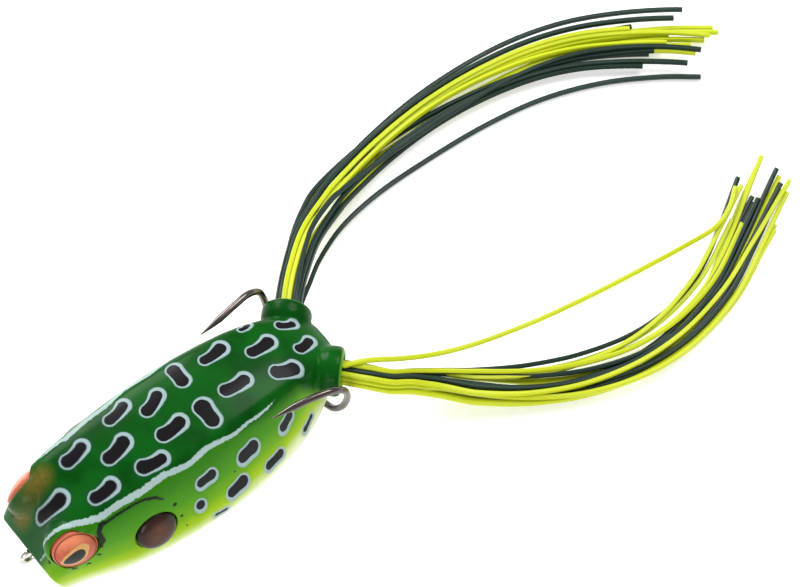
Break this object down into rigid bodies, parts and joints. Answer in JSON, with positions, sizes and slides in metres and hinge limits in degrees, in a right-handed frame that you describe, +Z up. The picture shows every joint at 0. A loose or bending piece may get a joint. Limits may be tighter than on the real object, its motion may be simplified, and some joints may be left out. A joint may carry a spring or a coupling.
{
  "type": "topwater popper",
  "caption": "Hollow soft-plastic frog popper with a cupped mouth, a weedless double hook and two legs of silicone strands.",
  "frame": {"origin": "on the flat of the belly, in the middle of the body", "axes": "+Z up out of the back, +Y towards the legs, +X to the frog's left"},
  "size_m": [0.0661, 0.1548, 0.0206],
  "materials": {
    "soft_body": "gloss",
    "copper_foil": "gloss",
    "eye_resin": "gloss",
    "ear_resin": "gloss",
    "bright_nickel": "polished",
    "black_nickel": "polished",
    "weight_alloy": "satin",
    "dark_rubber": "satin",
    "yellow_silicone": "satin",
    "dark_silicone": "satin"
  },
  "bodies": {
    "frog_body": {"body_shell": "soft_body", "left_eye_foil": "copper_foil", "right_eye_foil": "copper_foil", "left_eye_lens": "eye_resin", "right_eye_lens": "eye_resin", "left_ear": "ear_resin", "right_ear": "ear_resin", "nose_grommet": "dark_rubber", "line_tie": "bright_nickel", "left_leg_collar": "dark_rubber", "right_leg_collar": "dark_rubber"},
    "hook_set": {"double_hook": "black_nickel", "keel_weight": "weight_alloy"},
    "left_leg": {"left_leg_strand_01": "yellow_silicone", "left_leg_strand_02": "yellow_silicone", "left_leg_strand_03": "yellow_silicone", "left_leg_strand_04": "yellow_silicone", "left_leg_strand_05": "dark_silicone", "left_leg_strand_06": "yellow_silicone", "left_leg_strand_07": "yellow_silicone", "left_leg_strand_08": "dark_silicone", "left_leg_strand_09": "yellow_silicone", "left_leg_strand_10": "dark_silicone", "left_leg_strand_11": "dark_silicone", "left_leg_strand_12": "yellow_silicone", "left_leg_strand_13": "yellow_silicone", "left_leg_strand_14": "dark_silicone", "left_leg_strand_15": "dark_silicone", "left_leg_strand_16": "yellow_silicone", "left_leg_strand_17": "yellow_silicone", "left_leg_strand_18": "dark_silicone", "left_leg_strand_19": "yellow_silicone", "left_leg_strand_20": "yellow_silicone"},
    "right_leg": {"right_leg_strand_01": "yellow_silicone", "right_leg_strand_02": "yellow_silicone", "right_leg_strand_03": "yellow_silicone", "right_leg_strand_04": "dark_silicone", "right_leg_strand_05": "yellow_silicone", "right_leg_strand_06": "yellow_silicone", "right_leg_strand_07": "dark_silicone", "right_leg_strand_08": "dark_silicone", "right_leg_strand_09": "yellow_silicone", "right_leg_strand_10": "yellow_silicone", "right_leg_strand_11": "yellow_silicone", "right_leg_strand_12": "dark_silicone", "right_leg_strand_13": "dark_silicone", "right_leg_strand_14": "yellow_silicone", "right_leg_strand_15": "dark_silicone", "right_leg_strand_16": "dark_silicone", "right_leg_strand_17": "yellow_silicone", "right_leg_strand_18": "yellow_silicone", "right_leg_strand_19": "dark_silicone", "right_leg_strand_20": "dark_silicone"}
  },
  "joints": [
    {"name": "hook_swing", "type": "hinge", "parent": "frog_body", "child": "hook_set", "pos_m": [0, -0.0146, 0.0053], "axis": [1, 0, 0], "range_deg": [0, 2]},
    {"name": "left_leg_swing", "type": "hinge", "parent": "frog_body", "child": "left_leg", "pos_m": [0.0074, 0.0288, 0.0116], "axis": [0, 0, 1], "range_deg": [-10, 3]},
    {"name": "right_leg_swing", "type": "hinge", "parent": "frog_body", "child": "right_leg", "pos_m": [-0.0074, 0.0288, 0.0116], "axis": [0, 0, 1], "range_deg": [-3, 10]}
  ]
}
